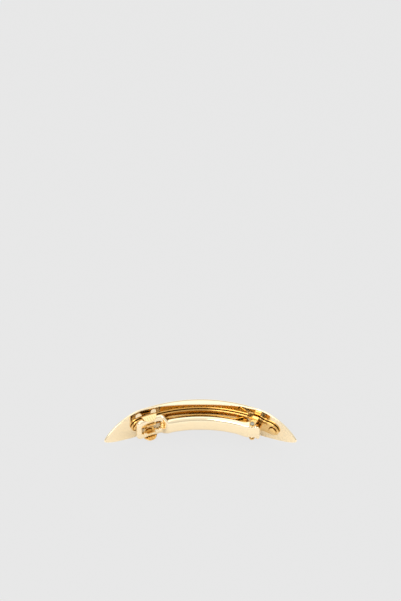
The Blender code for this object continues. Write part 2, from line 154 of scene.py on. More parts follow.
# Catch
CATCH_ALONG = -24.2 * MM
CATCH_SHEET = 0.5 * MM
CATCH_EDGE = 0.12 * MM
CATCH_BACK = BASE_FRONT + GAP
CATCH_HALF_LENGTH = 3.3 * MM
CATCH_HALF_WIDTH = 2.4 * MM
NECK_HALF_LENGTH = 2.0 * MM
RIVET_HOLE_RADIUS = 1.1 * MM
RIVET_SHANK_RADIUS = 0.8 * MM
RIVET_HEAD_RADIUS = 1.5 * MM
RIVET_HEAD_RISE = 0.6 * MM
HOOK_TIP_INSET = 6.1 * MM
HOOK_HEIGHT = 2.85 * MM
PAD_REACH = 7.6 * MM
PAD_FRONT = 6.7 * MM
PAD_BEND = 1.0 * MM
RIB_PITCH = 1.1 * MM
RIB_DEPTH = 0.12 * MM
EAR_COLUMNS = 45

# Tension bow
BOW_SHEET = 0.35 * MM
BOW_EDGE = 0.09 * MM
BOW_HALF_WIDTH = 3.1 * MM
BOW_PIVOT_ALONG = 21.6 * MM
BOW_FREE_END = -17.6 * MM
BOW_CORNER = 1.0 * MM
TONGUE_HALF_WIDTH = 1.5 * MM
TONGUE_BEND = 0.35 * MM
BOW_SLOTS = 12
BOW_FIRST_SLOT = -12.9 * MM
BOW_SLOT_PITCH = 2.7 * MM
BOW_SLOT_LENGTH = 1.7 * MM
BOW_SLOT_HALF_WIDTH = 0.35 * MM

CELL = 0.35 * MM
WELD = 0.002 * MM

# Framing: a long lens 52 degrees above the floor, with the clip low in the frame
VIEW_ELEVATION = 52.0
FRAME_HEIGHT = 272.0 * MM
AIM_ABOVE_CROWN = 50.0 * MM
LENS_MM = 135.0
SENSOR_MM = 36.0

# Studio
FLOOR_COLOUR = 0.95
FLOOR_SEEN = 0.791
FLOOR_EVENNESS = 0.96
FLOOR_HALF_SIZE = 3.0
HORIZON_STRENGTH = 0.62
ZENITH_STRENGTH = 0.95
OVERHEAD = ((0.0, 0.25, 0.9), (1.2, 1.0), 1.9)
KEY = ((-0.55, -1.0, 1.1), (0.8, 0.8), 6.5)

# Lit and shaded copies of one plated gold, as (colour, deeper colour). The palest is painted light on the
# outer plate and arm. The catch, the base and studs, and deepest of all the spring strip carry painted
# shade for the shade between the parts
LIT_PLATING_GOLD = ((0.95, 0.80, 0.55), (0.93, 0.77, 0.51))
CATCH_HALF_SHADE_GOLD = ((0.90, 0.68, 0.36), (0.87, 0.64, 0.32))
BASE_SHADE_GOLD = ((0.82, 0.55, 0.22), (0.79, 0.51, 0.19))
STRIP_DEEP_SHADE_GOLD = ((0.86, 0.49, 0.08), (0.83, 0.45, 0.07))
PIN_METAL = ((0.36, 0.35, 0.28), (0.30, 0.29, 0.22))
LENGTHWISE = (1, 6, 6)
DRIFT_SCALE = 160.0
POLISH_SCALE = 420.0
HAIRLINE_SCALE = 1800.0
HAIRLINE_STRENGTH = 0.05
HAIRLINE_DEPTH = 0.02 * MM


# Places and curves


def place(along, inset, height):
    """World point at a place on the clip."""
    angle = math.asin(along / ARCH_RADIUS)
    radius = ARCH_RADIUS - inset
    x = radius * math.sin(angle)
    y = CROWN_Y - ARCH_RADIUS + radius * math.cos(angle)
    return Vector((x, y, PLATE_HALF_WIDTH + height))


def inward(along):
    """Unit vector from the plate's outer face towards the mechanism side."""
    return (place(along, 1.0, 0) - place(along, 0, 0)).normalized()


def smooth_step(value, start, end):
    """0 before start, 1 after end, and a smooth ramp between."""
    t = min(max((value - start) / (end - start), 0.0), 1.0)
    return t * t * (3 - 2 * t)


def span(start, end, count):
    """Evenly spaced values from start to end."""
    return [start + (end - start) * i / (count - 1) for i in range(count)]


def spaced(start, end, pitch):
    """Values from start to end, about pitch apart."""
    return span(start, end, max(2, round(abs(end - start) / pitch) + 1))


# Sheet metal


def add_grid(bm, rows):
    """Quads between rows of points."""
    rows = [[bm.verts.new(point) for point in row] for row in rows]
    for low, high in zip(rows, rows[1:]):
        for i in range(len(low) - 1):
            bm.faces.new((low[i], high[i], high[i + 1], low[i + 1]))


def weld(bm):
    bmesh.ops.remove_doubles(bm, verts=bm.verts, dist=WELD)


def lay_on_arch(bm):
    """Take a surface from clip coordinates to its place in the world."""
    for vert in bm.verts:
        vert.co = place(*vert.co)


def outward_directions(edges):
    """In-surface direction away from the sheet at each vertex of its open edges."""
    directions = {}
    for edge in edges:
        loop = edge.link_loops[0]
        start, end = loop.vert, loop.link_loop_next.vert
        side = (end.co - start.co).cross(loop.face.normal).normalized()
        for vert in (start, end):
            directions[vert] = directions.get(vert, Vector()) + side
    return {vert: side.normalized() for vert, side in directions.items()}


def open_edges(bm, near=None):
    """Edges with one face, all of them or those that near() accepts at both ends."""
    edges = [edge for edge in bm.edges if edge.is_boundary]
    if near:
        edges = [edge for edge in edges if all(near(vert.co) for vert in edge.verts)]
    return edges


def turn_edges(bm, edges, path):
    """Carry the surface on past its open edges, by the steps of (outward, drop) that path(point) gives."""
    bm.normal_update()
    directions = outward_directions(edges)
    starts = {vert: vert.co.copy() for vert in directions}
    paths = {vert: path(point) for vert, point in starts.items()}
    previous = {vert: vert for vert in directions}
    for step in range(len(next(iter(paths.values())))):
        ring = {}
        for vert, side in directions.items():
            out, drop = paths[vert][step]
            ring[vert] = bm.verts.new(starts[vert] + side * out - Vector((0, drop, 0)))
        for edge in edges:
            first, second = edge.verts
            bm.faces.new((previous[first], previous[second], ring[second], ring[first]))
        previous = ring
    bmesh.ops.recalc_face_normals(bm, faces=bm.faces)


def gradient(distance, point):
    """Direction in which a distance field grows."""
    step = 0.01 * MM
    slope = [
        distance(point + axis * step) - distance(point - axis * step)
        for axis in (Vector((1, 0, 0)), Vector((0, 1, 0)), Vector((0, 0, 1)))
    ]
    return Vector(slope).normalized()


def cut_hole(bm, distance):
    """Open a hole where distance(point) is negative, and draw its edge onto the outline."""
    inside = [face for face in bm.faces if distance(face.calc_center_median()) < 0]
    bmesh.ops.delete(bm, geom=inside, context="FACES")
    rim = [vert for vert in bm.verts if vert.is_boundary and abs(distance(vert.co)) < 1.5 * CELL]
    for _ in range(3):
        for vert in rim:
            vert.co -= gradient(distance, vert.co) * distance(vert.co)


def round_hole(along, height, radius):
    """Distance from a round hole's edge, measured over the face of the clip."""
    return lambda point: math.hypot(point.x - along, point.z - height) - radius


def slot_hole(left, right, half_width, corner, grow=0.0):
    """Distance from the edge of a round-cornered rectangle, grown by grow."""
    centre, reach = (left + right) / 2, (right - left) / 2

    def distance(point):
        x = abs(point.x - centre) - reach + corner
        z = abs(point.z) - half_width + corner
        return math.hypot(max(x, 0), max(z, 0)) + min(max(x, z), 0) - corner - grow

    return distance


def thicken(surface, above, below, edge_radius, steps=3):
    """Closed solid that reaches above and below an open surface, and edge_radius past its rounded edges."""
    bmesh.ops.recalc_face_normals(surface, faces=surface.faces)
    surface.normal_update()
    edges = open_edges(surface)
    directions = outward_directions(edges)
    turns = [math.pi / 2 * i / steps for i in range(steps + 1)]
    rounding = [(edge_radius * math.sin(t), edge_radius * (1 - math.cos(t))) for t in turns]
    profile = [(out, above - fall) for out, fall in rounding]
    profile += [(out, fall - below) for out, fall in reversed(rounding)]
    solid = bmesh.new()
    columns = {}
    for vert in surface.verts:
        if vert in directions:
            side = directions[vert]
            points = [vert.co + side * out + vert.normal * up for out, up in profile]
        else:
            points = [vert.co + vert.normal * above, vert.co - vert.normal * below]
        columns[vert] = [solid.verts.new(point) for point in points]
    for face in surface.faces:
        solid.faces.new([columns[vert][0] for vert in face.verts])
        solid.faces.new([columns[vert][-1] for vert in reversed(face.verts)])
    for edge in edges:
        loop = edge.link_loops[0]
        start, end = columns[loop.vert], columns[loop.link_loop_next.vert]
        for i in range(len(profile) - 1):
            solid.faces.new((end[i], start[i], start[i + 1], end[i + 1]))
    surface.free()
    return solid


def add_piece(name, bm, node, material):
    """Put a finished solid in the scene in place of its CAD node, on that node's body."""
    bmesh.ops.recalc_face_normals(bm, faces=bm.faces)
    mesh = bpy.data.meshes.new(name)
    bm.to_mesh(mesh)
    bm.free()
    mesh.shade_smooth()
    obj = bpy.data.objects.new(name, mesh)
    bpy.context.scene.collection.objects.link(obj)
    normals = obj.modifiers.new("even_faces", "WEIGHTED_NORMAL")
    normals.mode = "FACE_AREA"
    obj.data.materials.append(material)
    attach(obj, frame["nodes"][node]["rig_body"])
    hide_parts(node)
    return obj


def turned(centre, axis, profile, sides=72):
    """Closed turned solid from a profile of (radius, distance along the axis)."""
    across = axis.orthogonal().normalized()
    other = axis.cross(across)
    bm = bmesh.new()
    rings = []
    for radius, distance in profile:
        ring = []
        for i in range(sides):
            turn = math.tau * i / sides
            ring.append(bm.verts.new(
                centre + axis * distance + (across * math.cos(turn) + other * math.sin(turn)) * radius
            ))
        rings.append(ring)
    for low, high in zip(rings, rings[1:]):
        for i in range(sides):
            j = (i + 1) % sides
            bm.faces.new((low[i], low[j], high[j], high[i]))
    for ring in (rings[0], rings[-1]):
        bmesh.ops.contextual_create(bm, geom=ring)
    return bm


def round_corner(profile, radius, steps=4):
    """Profile with each inner corner replaced by a small arc-like curve."""
    smooth = [profile[0]]
    for before, corner, after in zip(profile, profile[1:], profile[2:]):
        p, q, r = Vector(before), Vector(corner), Vector(after)
        reach_in = min(radius, (p - q).length / 2)
        reach_out = min(radius, (r - q).length / 2)
        start, end = q + (p - q).normalized() * reach_in, q + (r - q).normalized() * reach_out
        for t in span(0, 1, steps + 1):
            smooth.append(tuple(start * (1 - t) ** 2 + q * 2 * t * (1 - t) + end * t**2))
    smooth.append(profile[-1])
    return smooth


# Decorative plate


def plate_half_width(along):
    """Parallel sides in the middle, tapering to a blunt point at each tip."""
    taper = max(abs(along) - STRAIGHT_HALF_LENGTH, 0) / (PLATE_HALF_LENGTH - STRAIGHT_HALF_LENGTH)
    return max(PLATE_HALF_WIDTH * max(1 - taper**2, 0) ** TAPER_EXPONENT, PLATE_SHEET)


def rim_depth(along):
    """How far the outer face curls forward at the edge: deep in the middle, not at all at the tips."""
    bulge = RIM_DEPTH * (1 - (along / RIM_HALF_LENGTH) ** 2)
    soften = 0.25 * MM
    return 0.5 * (bulge + math.hypot(bulge, soften))


def plate_section(along, share):
    """(height, inset) on the outer face, at a share of the way over it from the middle to the edge."""
    depth = rim_depth(along)
    turn = math.acos(1 - min(depth / RIM_BEND, 1.0))
    bend_start = plate_half_width(along) - RIM_BEND * math.sin(turn) - PLATE_EDGE * math.cos(turn)
    wall = max(depth - RIM_BEND - PLATE_EDGE, 0)
    travel = share * (bend_start + RIM_BEND * turn + wall)
    if travel <= bend_start:
        return travel, 0.0
    angle = min((travel - bend_start) / RIM_BEND, turn)
    down = max(travel - bend_start - RIM_BEND * turn, 0)
    return bend_start + RIM_BEND * math.sin(angle), RIM_BEND * (1 - math.cos(angle)) + down


def plate_rows():
    tip = math.asin((PLATE_HALF_LENGTH - PLATE_EDGE) / ARCH_RADIUS)
    shares = [1 - (1 - t) ** 1.4 for t in span(0, 1, 44)]
    rows = []
    for t in span(-1, 1, 241):
        along = ARCH_RADIUS * math.sin(tip * math.sin(math.pi / 2 * t))
        half = [plate_section(along, share) for share in shares]
        lower = [(along, inset, -height) for height, inset in reversed(half[1:])]
        rows.append(lower + [(along, inset, height) for height, inset in half])
    return rows


def build_plate():
    surface = bmesh.new()
    add_grid(surface, plate_rows())
    lay_on_arch(surface)
    bmesh.ops.recalc_face_normals(surface, faces=surface.faces)
    surface.normal_update()
    middle = min(surface.faces, key=lambda face: (face.calc_center_median() - place(0, 0, 0)).length)
    outer_faces_up = middle.normal.y > 0
    above, below = (0, PLATE_SHEET) if outer_faces_up else (PLATE_SHEET, 0)
    solid = thicken(surface, above, below, PLATE_EDGE, steps=4)
    return add_piece("polished_plate", solid, "decorative_plate", GOLD_PLATE)


# Base strip


def base_half_width(along):
    """Half width: parallel in the middle, wider at the ends and where the hinge ears are folded up."""
    end = min(along - BASE_LEFT, BASE_RIGHT - along)
    wider = (BASE_END_HALF_WIDTH - BASE_HALF_WIDTH) * (1 - smooth_step(end, 5 * MM, 12 * MM))
    width = BASE_HALF_WIDTH + wider
    fold = EAR_INNER + EAR_SHEET / 2 - EAR_BEND + BASE_EDGE
    away = abs(along - HINGE_ALONG)
    return width + (fold - width) * (1 - smooth_step(away, EAR_TOP_RADIUS, 4.2 * MM))


def base_rows():
    """Strip with half-disc ends, as rows across it."""
    middle_inset = (BASE_BACK + BASE_FRONT) / 2
    radius = BASE_END_HALF_WIDTH - BASE_EDGE
    across = span(-1, 1, 23)
    left = BASE_LEFT + BASE_END_HALF_WIDTH
    right = BASE_RIGHT - BASE_END_HALF_WIDTH
    ear_left = HINGE_ALONG - EAR_TOP_RADIUS
    ear_right = HINGE_ALONG + EAR_TOP_RADIUS
    stations = spaced(left, ear_left, CELL)[1:-1] + ear_stations() + spaced(ear_right, right, CELL)[1:-1]
    rows = [disc_row(left, -u, radius, across, middle_inset) for u in span(1, 0, 12)]
    for along in stations:
        reach = base_half_width(along) - BASE_EDGE
        rows.append([(along, middle_inset, reach * v) for v in across])
    rows += [disc_row(right, u, radius, across, middle_inset) for u in span(0, 1, 12)]
    return rows


def disc_row(centre, u, radius, across, inset):
    """One row of a half-disc end, from a square grid pressed into a round shape."""
    return [
        (
            centre + radius * u * math.sqrt(1 - v * v / 2),
            inset,
            radius * v * math.sqrt(1 - u * u / 2),
        )
        for v in across
    ]


def ear_stations():
    return spaced(HINGE_ALONG - EAR_TOP_RADIUS, HINGE_ALONG + EAR_TOP_RADIUS, 0.28 * MM)


def hinge_ear_rows(side):
    """Ear folded forward from the strip's edge, with a round top about the pin."""
    middle_inset = (BASE_BACK + BASE_FRONT) / 2
    height = EAR_INNER + EAR_SHEET / 2
    rows = []
    for turn in span(0, math.pi / 2, 7):
        across = height - EAR_BEND * (1 - math.sin(turn))
        inset = middle_inset + EAR_BEND * (1 - math.cos(turn))
        rows.append([(along, inset, side * across) for along in ear_stations()])
    radius = EAR_TOP_RADIUS - BASE_EDGE
    shoulder = middle_inset + EAR_BEND
    for inset in spaced(shoulder, HINGE_INSET, CELL)[1:]:
        narrow = smooth_step(inset, shoulder, HINGE_INSET)
        width = EAR_TOP_RADIUS + (radius - EAR_TOP_RADIUS) * narrow
        offsets = [(along - HINGE_ALONG) / EAR_TOP_RADIUS for along in ear_stations()]
        rows.append([(HINGE_ALONG + width * v, inset, side * height) for v in offsets])
    for u in span(0, 1, 7)[1:]:
        row = []
        for along in ear_stations():
            v = (along - HINGE_ALONG) / EAR_TOP_RADIUS
            x = HINGE_ALONG + radius * v * math.sqrt(1 - u * u / 2)
            row.append((x, HINGE_INSET + radius * u * math.sqrt(1 - v * v / 2), side * height))
        rows.append(row)
    return rows


def build_base():
    surface = bmesh.new()
    add_grid(surface, base_rows())
    for side in (-1, 1):
        add_grid(surface, hinge_ear_rows(side))
    weld(surface)
    for along in (BASE_LEFT + STUD_INSET, BASE_RIGHT - STUD_INSET):
        cut_hole(surface, round_hole(along, 0, STUD_HOLE_RADIUS + BASE_EDGE))
    cut_hole(surface, round_hole(CATCH_ALONG, 0, RIVET_HOLE_RADIUS + BASE_EDGE))
    left = BOW_PIVOT_ALONG - BOW_ANCHOR_HALF_LENGTH
    right = BOW_PIVOT_ALONG + BOW_ANCHOR_HALF_LENGTH
    cut_hole(surface, slot_hole(left, right, BOW_ANCHOR_HALF_WIDTH, BOW_ANCHOR_CORNER, BASE_EDGE))
    lay_on_arch(surface)
    solid = thicken(surface, BASE_SHEET / 2, BASE_SHEET / 2, BASE_EDGE)
    return add_piece("base_strip", solid, "base_plate", GOLD_BASE_SHADED)


# Fixing studs and catch rivet


def domed_rivet(along, back, head_back, head_front, shank_radius, head_radius):
    """Turned rivet: a plain shank and a low domed head with a soft rim."""
    rise = head_front - head_back
    rim = 0.25 * rise
    profile = [(shank_radius * 0.7, back), (shank_radius, back), (shank_radius, head_back)]
    profile += [(head_radius, head_back), (head_radius, head_back + rim)]
    profile = round_corner(profile, 0.12 * MM)
    for turn in span(0, math.pi / 2 * 0.97, 14)[1:]:
        profile.append((head_radius * math.cos(turn), head_back + rim + (rise - rim) * math.sin(turn)))
    return turned(place(along, 0, 0), inward(along), profile)


def build_studs():
    for side, along in (("left", BASE_LEFT + STUD_INSET), ("right", BASE_RIGHT - STUD_INSET)):
        solid = domed_rivet(
            along, BASE_BACK, BASE_FRONT + GAP, BASE_FRONT + STUD_HEAD_TOP,
            STUD_SHANK_RADIUS, STUD_HEAD_RADIUS,
        )
        add_piece(side + "_stud", solid, side + "_fixing_stud", GOLD_SMALL_SHADED)


def build_catch_rivet():
    head_back = CATCH_BACK + CATCH_SHEET + GAP
    head_front = head_back + RIVET_HEAD_RISE
    solid = domed_rivet(
        CATCH_ALONG, BASE_BACK, head_back, head_front, RIVET_SHANK_RADIUS, RIVET_HEAD_RADIUS
    )
    add_piece("catch_rivet_turned", solid, "catch_rivet", GOLD_SMALL_SHADED)


# Hinge pin


def build_hinge_pin():
    """Plain pin with a softly peened head outside each ear."""
    head_start = EAR_INNER + EAR_SHEET + 0.1 * MM
    head_end = head_start + PIN_HEAD_LENGTH
    shoulder = head_end - PIN_HEAD_DOME
    half = [(PIN_RADIUS, 0), (PIN_RADIUS, head_start), (PIN_HEAD_RADIUS, head_start)]
    half = round_corner(half + [(PIN_HEAD_RADIUS, shoulder)], 0.08 * MM)
    for turn in span(0.1, math.pi / 2 * 0.96, 8):
        half.append((PIN_HEAD_RADIUS * math.cos(turn), shoulder + PIN_HEAD_DOME * math.sin(turn)))
    profile = [(radius, -distance) for radius, distance in reversed(half[1:])] + half[1:]
    pin = place(HINGE_ALONG, HINGE_INSET, 0)
    solid = turned(pin, Vector((0, 0, 1)), profile, sides=48)
    add_piece("hinge_pin_turned", solid, "hinge_pin", PIN_STEEL)


# Clasp arm


def arm_front(along):
    """Front face of the arm: a constant lift over the plate, lower at the loop and at the hinge tab."""
    loop = 1 - smooth_step(along, LOOP_START - 0.6 * MM, LOOP_START + 2.6 * MM)
    tab = smooth_step(along, HINGE_ALONG - 3.0 * MM, ARM_TAB_END)
    return ARM_FRONT - (ARM_FRONT - LOOP_FRONT) * loop - 1.6 * MM * tab


def arm_back(along):
    """Back edge of the arm's side flanges, which end short of the hinge tab."""
    loop = 1 - smooth_step(along, LOOP_START - 0.6 * MM, LOOP_START + 2.6 * MM)
    eyelet = smooth_step(along, HINGE_ALONG - 4.5 * MM, HINGE_ALONG - 1.6 * MM)
    flange_end = HINGE_ALONG + FLANGE_PAST_PIN
    gone = smooth_step(along, flange_end - 0.2 * MM, flange_end + 0.6 * MM)
    lower = ARM_BACK - (ARM_BACK - LOOP_BACK) * loop - (ARM_BACK - 4.9 * MM) * eyelet
    return lower + (arm_front(along) - ARM_SHEET - lower) * gone


def arm_bend(along):
    """Bend radius of the side flanges: generous along the arm, tight at the loop and at the hinge."""
    loop = 1 - smooth_step(along, LOOP_START + 0.6 * MM, LOOP_START + 4.6 * MM)
    hinge = smooth_step(along, HINGE_ALONG - 7 * MM, HINGE_ALONG - 3 * MM)
    return ARM_BEND + (ARM_END_BEND - ARM_BEND) * max(loop, hinge)


def arm_face_half_width(along):
    """Half width of the arm's flat face, which ends where the side flanges start to bend."""
    loop = 1 - smooth_step(along, LOOP_START, LOOP_START + 2.2 * MM)
    hinge = smooth_step(along, HINGE_ALONG - 6 * MM, HINGE_ALONG - 2 * MM)
    width = ARM_HALF_WIDTH + (LOOP_HALF_WIDTH - ARM_HALF_WIDTH) * loop
    width += (ARM_HINGE_HALF_WIDTH - ARM_HALF_WIDTH) * hinge
    margin = arm_bend(along) + ARM_SHEET / 2
    width -= margin
    corner = (LOOP_CORNER if along < 0 else TAB_CORNER) - margin
    end = (along - LOOP_END if along < 0 else ARM_TAB_END - along) - margin
    if end < corner:
        width -= corner - math.sqrt(max(corner**2 - (corner - end) ** 2, 0))
    return width


def arm_flange_path(point):
    """Steps from the face's edge round the bend and down the flange, or straight on past the flange."""
    bend = arm_bend(point.x)
    middle = arm_front(point.x) - ARM_SHEET / 2
    drop = max(middle - arm_back(point.x) - ARM_EDGE, 0) if point.x < HINGE_ALONG + 2.2 * MM else 0.0
    turn = math.acos(1 - min(drop / bend, 1.0))
    run = (bend + ARM_SHEET / 2) * (1 - math.sin(turn)) - ARM_EDGE * math.cos(turn)
    length = run + bend * turn + max(drop - bend, 0)
    steps = []
    for share in span(0, 1, 13)[1:]:
        travel = share * length
        angle = min(max(travel - run, 0) / bend, turn)
        down = max(travel - run - bend * turn, 0)
        steps.append((min(travel, run) + bend * math.sin(angle), bend * (1 - math.cos(angle)) + down))
    return steps


def arm_face_rows():
    margin = ARM_END_BEND + ARM_SHEET / 2
    left, right = LOOP_END + margin, ARM_TAB_END - margin
    loop_corner, tab_corner = LOOP_CORNER - margin, TAB_CORNER - margin
    corners = [left + loop_corner * (1 - math.cos(t)) for t in span(0, math.pi / 2, 8)]
    tab = [right - tab_corner * (1 - math.cos(t)) for t in span(math.pi / 2, 0, 4)]
    stations = corners + spaced(corners[-1], tab[0], CELL)[1:-1] + tab
    rows = []
    for along in stations:
        middle = arm_front(along) - ARM_SHEET / 2
        reach = arm_face_half_width(along)
        rows.append([(along, middle, reach * v) for v in span(-1, 1, 29)])
    return rows


def window_collar_path(point):
    """Steps round the bend at the window's edge and back to the loop's rear face."""
    middle = arm_front(point.x) - ARM_SHEET / 2
    steps = [
        (WINDOW_BEND * math.sin(t), WINDOW_BEND * (1 - math.cos(t))) for t in span(0, math.pi / 2, 6)[1:]
    ]
    wall = middle - WINDOW_BEND - LOOP_BACK - ARM_EDGE
    steps += [(WINDOW_BEND, WINDOW_BEND + wall * share) for share in (0.5, 1.0)]
    return steps


def build_arm():
    surface = bmesh.new()
    add_grid(surface, arm_face_rows())
    turn_edges(surface, open_edges(surface), arm_flange_path)
    window = slot_hole(
        WINDOW_LEFT, WINDOW_RIGHT, WINDOW_HALF_WIDTH, WINDOW_CORNER, WINDOW_BEND + ARM_SHEET / 2
    )
    cut_hole(surface, window)
    rim = open_edges(surface, lambda point: abs(window(point)) < 0.05 * MM)
    turn_edges(surface, rim, window_collar_path)
    for side in (-1, 1):
        cut_hole(surface, pin_eyelet(side))
    lay_on_arch(surface)
    solid = thicken(surface, ARM_SHEET / 2, ARM_SHEET / 2, ARM_EDGE)
    return add_piece("clasp_channel", solid, "clasp_arm", GOLD_ARM)


def pin_eyelet(side):
    """Distance from the pin's hole through one side flange."""

    def distance(point):
        if side * point.z < ARM_HALF_WIDTH - ARM_SHEET:
            return math.inf
        return math.hypot(point.x - HINGE_ALONG, point.y - HINGE_INSET) - PIN_HOLE_RADIUS - ARM_EDGE

    return distance


# Tension bow


def bow_inset(along):
    """Lift of the bow over the plate: rises quickly from its anchored end and droops at its free end."""
    rise = 1 - smooth_step(along, BOW_PIVOT_ALONG - 6.5 * MM, BOW_PIVOT_ALONG - 0.3 * MM)
    droop = 1 - smooth_step(along, BOW_FREE_END, BOW_FREE_END + 5 * MM)
    flatter = (along / BOW_PIVOT_ALONG) ** 2
    return 2.2 * MM + (1.9 * MM + 0.8 * MM * flatter) * rise - 0.9 * MM * droop


def bow_half_width(along):
    """Parallel edges, with round corners at the free end and a narrow tongue at the other."""
    end = along - BOW_FREE_END - BOW_EDGE
    width = BOW_HALF_WIDTH
    if end < BOW_CORNER:
        width -= BOW_CORNER - math.sqrt(max(BOW_CORNER**2 - (BOW_CORNER - end) ** 2, 0))
    tongue = smooth_step(along, BOW_PIVOT_ALONG - 1.6 * MM, BOW_PIVOT_ALONG - 0.6 * MM)
    return width + (TONGUE_HALF_WIDTH - width) * tongue - BOW_EDGE


def bow_rows():
    """Rows across the bow, which ends in a tongue bent back through the base."""
    across = span(-1, 1, 27)
    last = BOW_PIVOT_ALONG - BOW_SHEET / 2 - TONGUE_BEND
    start = BOW_FREE_END + BOW_EDGE
    stations = [start + BOW_CORNER * (1 - math.cos(t)) for t in span(0, math.pi / 2, 7)]
    stations += spaced(stations[-1], last, BOW_SLOT_PITCH / 12)[1:]
    rows = []
    for along in stations:
        inset = bow_inset(along) + BOW_SHEET / 2
        rows.append([(along, inset, bow_half_width(along) * v) for v in across])
    inset = bow_inset(last) + BOW_SHEET / 2
    reach = bow_half_width(last)
    path = []
    for t in span(0, math.pi / 2, 5)[1:]:
        path.append((last + TONGUE_BEND * math.sin(t), inset - TONGUE_BEND * (1 - math.cos(t))))
    for depth in spaced(inset - TONGUE_BEND, BASE_BACK + 0.2 * MM, 0.2 * MM)[1:]:
        path.append((last + TONGUE_BEND, depth))
    for along, inset in path:
        rows.append([(along, inset, reach * v) for v in across])
    return rows


def build_bow():
    surface = bmesh.new()
    add_grid(surface, bow_rows())
    for number in range(BOW_SLOTS):
        centre = BOW_FIRST_SLOT + number * BOW_SLOT_PITCH
        left, right = centre - BOW_SLOT_LENGTH / 2, centre + BOW_SLOT_LENGTH / 2
        cut_hole(surface, slot_hole(left, right, BOW_SLOT_HALF_WIDTH, BOW_SLOT_HALF_WIDTH, BOW_EDGE))
    lay_on_arch(surface)
    solid = thicken(surface, BOW_SHEET / 2, BOW_SHEET / 2, BOW_EDGE, steps=2)
    return add_piece("bow_spring", solid, "tension_bow", GOLD_SPRING_DEEP_SHADED)


# Squeeze catch


def build_catch_plate():
    middle = CATCH_BACK + CATCH_SHEET / 2
    length, width = CATCH_HALF_LENGTH - CATCH_EDGE, CATCH_HALF_WIDTH - CATCH_EDGE
    rows = []
    for along in spaced(CATCH_ALONG - length, CATCH_ALONG + length, CELL):
        rows.append([(along, middle, height) for height in spaced(-width, width, CELL)])
    surface = bmesh.new()
    add_grid(surface, rows)
    cut_hole(surface, round_hole(CATCH_ALONG, 0, RIVET_HOLE_RADIUS + CATCH_EDGE))
    lay_on_arch(surface)
    solid = thicken(surface, CATCH_SHEET / 2, CATCH_SHEET / 2, CATCH_EDGE)
    return add_piece("catch_spring_plate", solid, "catch_plate", GOLD_CATCH_HALF_SHADED)


def ear_path():
    """(height, inset) along the ear: out over the base, then bent forward as a finger pad."""
    middle = CATCH_BACK + CATCH_SHEET / 2
    bend_start = PAD_REACH - CATCH_SHEET / 2 - PAD_BEND
    root = HOOK_HEIGHT + CATCH_SHEET
    path = [(height, middle) for height in spaced(root, bend_start, CELL)[:-1]]
    for turn in span(0, math.pi / 2, 8):
        path.append((bend_start + PAD_BEND * math.sin(turn), middle + PAD_BEND * (1 - math.cos(turn))))
    bend_end = middle + PAD_BEND
    rise = PAD_FRONT - CATCH_EDGE - bend_end
    for share in span(0, 1, 14)[1:]:
        path.append((bend_start + PAD_BEND, bend_end + rise * math.sin(math.pi / 2 * share)))
    return path


def ear_half_length(height, inset):
    """A neck that flares out to a half-disc finger pad, rounded off at its front rim."""
    straight = 3.0 * MM
    rounding = max(inset - straight, 0) / (PAD_FRONT - straight)
    pad = CATCH_HALF_LENGTH * math.sqrt(max(1 - 0.97 * rounding**2, 0))
    flare = smooth_step(height, 4.5 * MM, 6.6 * MM)
    return NECK_HALF_LENGTH + (pad - NECK_HALF_LENGTH) * flare - CATCH_EDGE


def rib(offset, inset):
    """Grip ribs pressed into the pad, fading out at its root and rim."""
    strength = smooth_step(inset, 3.2 * MM, 4.0 * MM) * (1 - smooth_step(inset, 5.9 * MM, 6.5 * MM))
    wave = 0.5 + 0.5 * math.cos(math.tau * offset / RIB_PITCH)
    return RIB_DEPTH * strength * wave


def ear_rows(side):
    rows = []
    for height, inset in ear_path():
        reach = ear_half_length(height, inset)
        row = []
        for v in span(-1, 1, EAR_COLUMNS):
            offset = reach * v
            row.append((CATCH_ALONG + offset, inset, side * (height - rib(offset, inset))))
        rows.append(row)
    return rows


def hook_rows(side):
    """Hook bent forward from the ear's inner edge, with a nose at its tip."""
    root_height, middle = ear_path()[0]
    reach = ear_half_length(root_height, middle)
    offsets = [reach * v for v in span(-1, 1, EAR_COLUMNS)]
    bend = root_height - HOOK_HEIGHT
    path = []
    for t in span(0, math.pi / 2, 7):
        path.append((root_height - bend * math.sin(t), middle + bend * (1 - math.cos(t))))
    tip = HOOK_TIP_INSET - CATCH_EDGE
    for inset in spaced(middle + bend, tip, 0.3 * MM)[1:]:
        nose = math.exp(-(((inset - tip + 0.5 * MM) / (0.35 * MM)) ** 2))
        path.append((HOOK_HEIGHT + 0.12 * MM * nose, inset))
    return [[(CATCH_ALONG + offset, inset, side * height) for offset in offsets] for height, inset in path]


def build_catch_ears():
    for side, name in ((-1, "lower"), (1, "upper")):
        surface = bmesh.new()
        add_grid(surface, ear_rows(side))
        add_grid(surface, hook_rows(side))
        weld(surface)
        lay_on_arch(surface)
        solid = thicken(surface, CATCH_SHEET / 2, CATCH_SHEET / 2, CATCH_EDGE)
        add_piece(name + "_finger_ear", solid, name + "_catch_ear", GOLD_CATCH_HALF_SHADED)


# Materials


